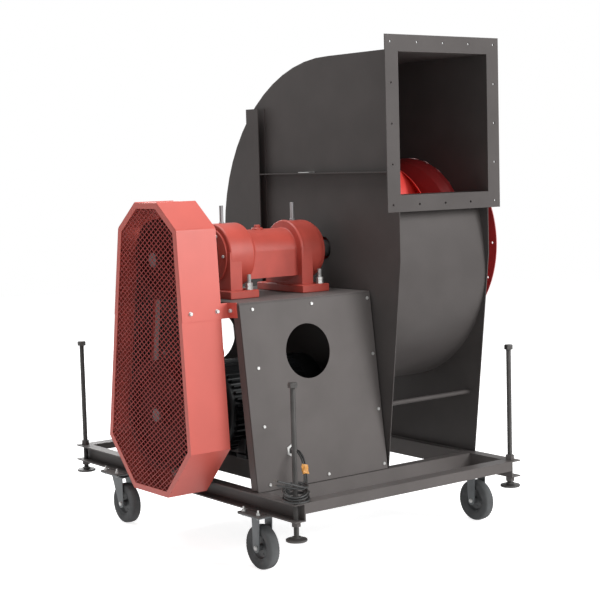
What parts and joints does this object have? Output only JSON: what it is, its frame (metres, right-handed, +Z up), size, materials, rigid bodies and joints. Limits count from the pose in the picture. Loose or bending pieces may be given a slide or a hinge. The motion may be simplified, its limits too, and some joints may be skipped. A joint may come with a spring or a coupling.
{
  "type": "centrifugal fan",
  "caption": "Belt-driven centrifugal fan: scroll casing with a square outlet flange, bearing unit on a motor pedestal, mesh belt guard, wheeled base with screw jacks.",
  "frame": {"origin": "on the floor, at the middle of the box round the fan", "axes": "+X along the fan shaft towards the inlet, -Y out of the outlet, +Z up"},
  "size_m": [1.715, 1.9359, 2.347],
  "materials": {
    "frame_paint": "satin metallic grey paint",
    "casing_paint": "satin metallic grey paint",
    "red_paint": "satin red paint",
    "impeller_paint": "satin red paint",
    "black_paint": "satin black paint",
    "bright_steel": "turned steel",
    "jack_steel": "blackened steel",
    "zinc": "zinc plated",
    "fork_zinc": "dull zinc plated",
    "pulley_iron": "machined",
    "tyre_rubber": "black rubber",
    "belt_rubber": "black rubber",
    "cable_rubber": "black sheath",
    "yellow_tape": "vinyl tape"
  },
  "bodies": {
    "frame": {"base_frame": "frame_paint", "pedestal_frame": "frame_paint", "pedestal_front_panel": "frame_paint", "pedestal_rear_panel": "frame_paint", "motor_rail_left": "frame_paint", "motor_rail_right": "frame_paint", "drive_side_plate": "casing_paint", "inlet_side_plate": "casing_paint", "scroll_wrap": "casing_paint", "outlet_flange": "casing_paint", "tie_pipe": "casing_paint", "inlet_cone": "red_paint", "guard_case": "red_paint", "guard_mesh": "red_paint", "bearing_housing": "red_paint", "bearing_cover_left": "red_paint", "bearing_cover_right": "red_paint", "bearing_left": "bright_steel", "bearing_right": "bright_steel", "v_belt_band": "belt_rubber", "motor_body": "black_paint", "motor_fan_cowl": "black_paint", "motor_terminal_box": "black_paint", "cable_gland": "cable_rubber", "cable_lead_left": "cable_rubber", "cable_lead_right": "cable_rubber", "cable_coil": "cable_rubber", "cable_tape": "yellow_tape", "caster_swivel_plate_rear_left": "fork_zinc", "caster_swivel_plate_rear_right": "fork_zinc", "caster_fork_front_left": "fork_zinc", "caster_axle_front_left": "zinc", "caster_fork_front_right": "fork_zinc", "caster_axle_front_right": "zinc"},
    "fan_rotor": {"fan_shaft": "bright_steel", "fan_pulley": "pulley_iron", "impeller_hub": "pulley_iron", "impeller_wheel": "impeller_paint"},
    "motor_rotor": {"motor_shaft": "bright_steel", "motor_pulley": "pulley_iron"},
    "wheel_front_left": {"caster_tyre_front_left": "tyre_rubber", "caster_rim_front_left": "fork_zinc"},
    "wheel_front_right": {"caster_tyre_front_right": "tyre_rubber", "caster_rim_front_right": "fork_zinc"},
    "swivel_fork_rear_left": {"caster_fork_rear_left": "fork_zinc", "caster_axle_rear_left": "zinc"},
    "wheel_rear_left": {"caster_tyre_rear_left": "tyre_rubber", "caster_rim_rear_left": "fork_zinc"},
    "swivel_fork_rear_right": {"caster_fork_rear_right": "fork_zinc", "caster_axle_rear_right": "zinc"},
    "wheel_rear_right": {"caster_tyre_rear_right": "tyre_rubber", "caster_rim_rear_right": "fork_zinc"},
    "foot_front_left": {"jack_foot_front_left": "jack_steel"},
    "screw_front_left": {"jack_screw_front_left": "jack_steel"},
    "foot_front_right": {"jack_foot_front_right": "jack_steel"},
    "screw_front_right": {"jack_screw_front_right": "jack_steel"},
    "foot_rear_left": {"jack_foot_rear_left": "jack_steel"},
    "screw_rear_left": {"jack_screw_rear_left": "jack_steel"},
    "foot_rear_right": {"jack_foot_rear_right": "jack_steel"},
    "screw_rear_right": {"jack_screw_rear_right": "jack_steel"}
  },
  "joints": [
    {"name": "fan_spin", "type": "hinge", "parent": "frame", "child": "fan_rotor", "pos_m": [0, -0.2, 1.362], "axis": [1, 0, 0], "continuous": true},
    {"name": "motor_spin", "type": "hinge", "parent": "frame", "child": "motor_rotor", "pos_m": [0, -0.157, 0.65], "axis": [1, 0, 0], "continuous": true},
    {"name": "wheel_spin_front_left", "type": "hinge", "parent": "frame", "child": "wheel_front_left", "pos_m": [-0.6045, -0.672, 0.1], "axis": [1, 0, 0], "continuous": true},
    {"name": "wheel_spin_front_right", "type": "hinge", "parent": "frame", "child": "wheel_front_right", "pos_m": [0.6995, -0.672, 0.1], "axis": [1, 0, 0], "continuous": true},
    {"name": "swivel_rear_left", "type": "hinge", "parent": "frame", "child": "swivel_fork_rear_left", "pos_m": [-0.6045, 0.537, 0.24], "axis": [0, 0, 1], "continuous": true},
    {"name": "wheel_spin_rear_left", "type": "hinge", "parent": "swivel_fork_rear_left", "child": "wheel_rear_left", "pos_m": [-0.6045, 0.493, 0.1], "axis": [1, 0, 0], "continuous": true},
    {"name": "swivel_rear_right", "type": "hinge", "parent": "frame", "child": "swivel_fork_rear_right", "pos_m": [0.6995, 0.537, 0.24], "axis": [0, 0, 1], "continuous": true},
    {"name": "wheel_spin_rear_right", "type": "hinge", "parent": "swivel_fork_rear_right", "child": "wheel_rear_right", "pos_m": [0.6995, 0.493, 0.1], "axis": [1, 0, 0], "continuous": true},
    {"name": "foot_height_front_left", "type": "slide", "parent": "frame", "child": "foot_front_left", "axis": [0, 0, 1], "range_m": [-0.198, 0.042]},
    {"name": "screw_turn_front_left", "type": "hinge", "parent": "foot_front_left", "child": "screw_front_left", "pos_m": [-0.5975, -0.913, 0.19], "axis": [0, 0, 1], "range_deg": [-23760, 5040]},
    {"name": "foot_height_front_right", "type": "slide", "parent": "frame", "child": "foot_front_right", "axis": [0, 0, 1], "range_m": [-0.198, 0.006]},
    {"name": "screw_turn_front_right", "type": "hinge", "parent": "foot_front_right", "child": "screw_front_right", "pos_m": [0.6925, -0.913, 0.227], "axis": [0, 0, 1], "range_deg": [-23760, 720]},
    {"name": "foot_height_rear_left", "type": "slide", "parent": "frame", "child": "foot_rear_left", "axis": [0, 0, 1], "range_m": [-0.198, 0.015]},
    {"name": "screw_turn_rear_left", "type": "hinge", "parent": "foot_rear_left", "child": "screw_rear_left", "pos_m": [-0.5975, 0.913, 0.218], "axis": [0, 0, 1], "range_deg": [-23760, 1800]},
    {"name": "foot_height_rear_right", "type": "slide", "parent": "frame", "child": "foot_rear_right", "axis": [0, 0, 1], "range_m": [-0.198, 0.021]},
    {"name": "screw_turn_rear_right", "type": "hinge", "parent": "foot_rear_right", "child": "screw_rear_right", "pos_m": [0.6925, 0.913, 0.21], "axis": [0, 0, 1], "range_deg": [-23760, 2520]}
  ],
  "couplings": [
    {"joint": "motor_spin", "follows": "fan_spin", "ratio": 0.72},
    {"joint": "foot_height_front_left", "follows": "screw_turn_front_left", "m_per_rad": 0.00047746},
    {"joint": "foot_height_front_right", "follows": "screw_turn_front_right", "m_per_rad": 0.00047746},
    {"joint": "foot_height_rear_left", "follows": "screw_turn_rear_left", "m_per_rad": 0.00047746},
    {"joint": "foot_height_rear_right", "follows": "screw_turn_rear_right", "m_per_rad": 0.00047746}
  ]
}
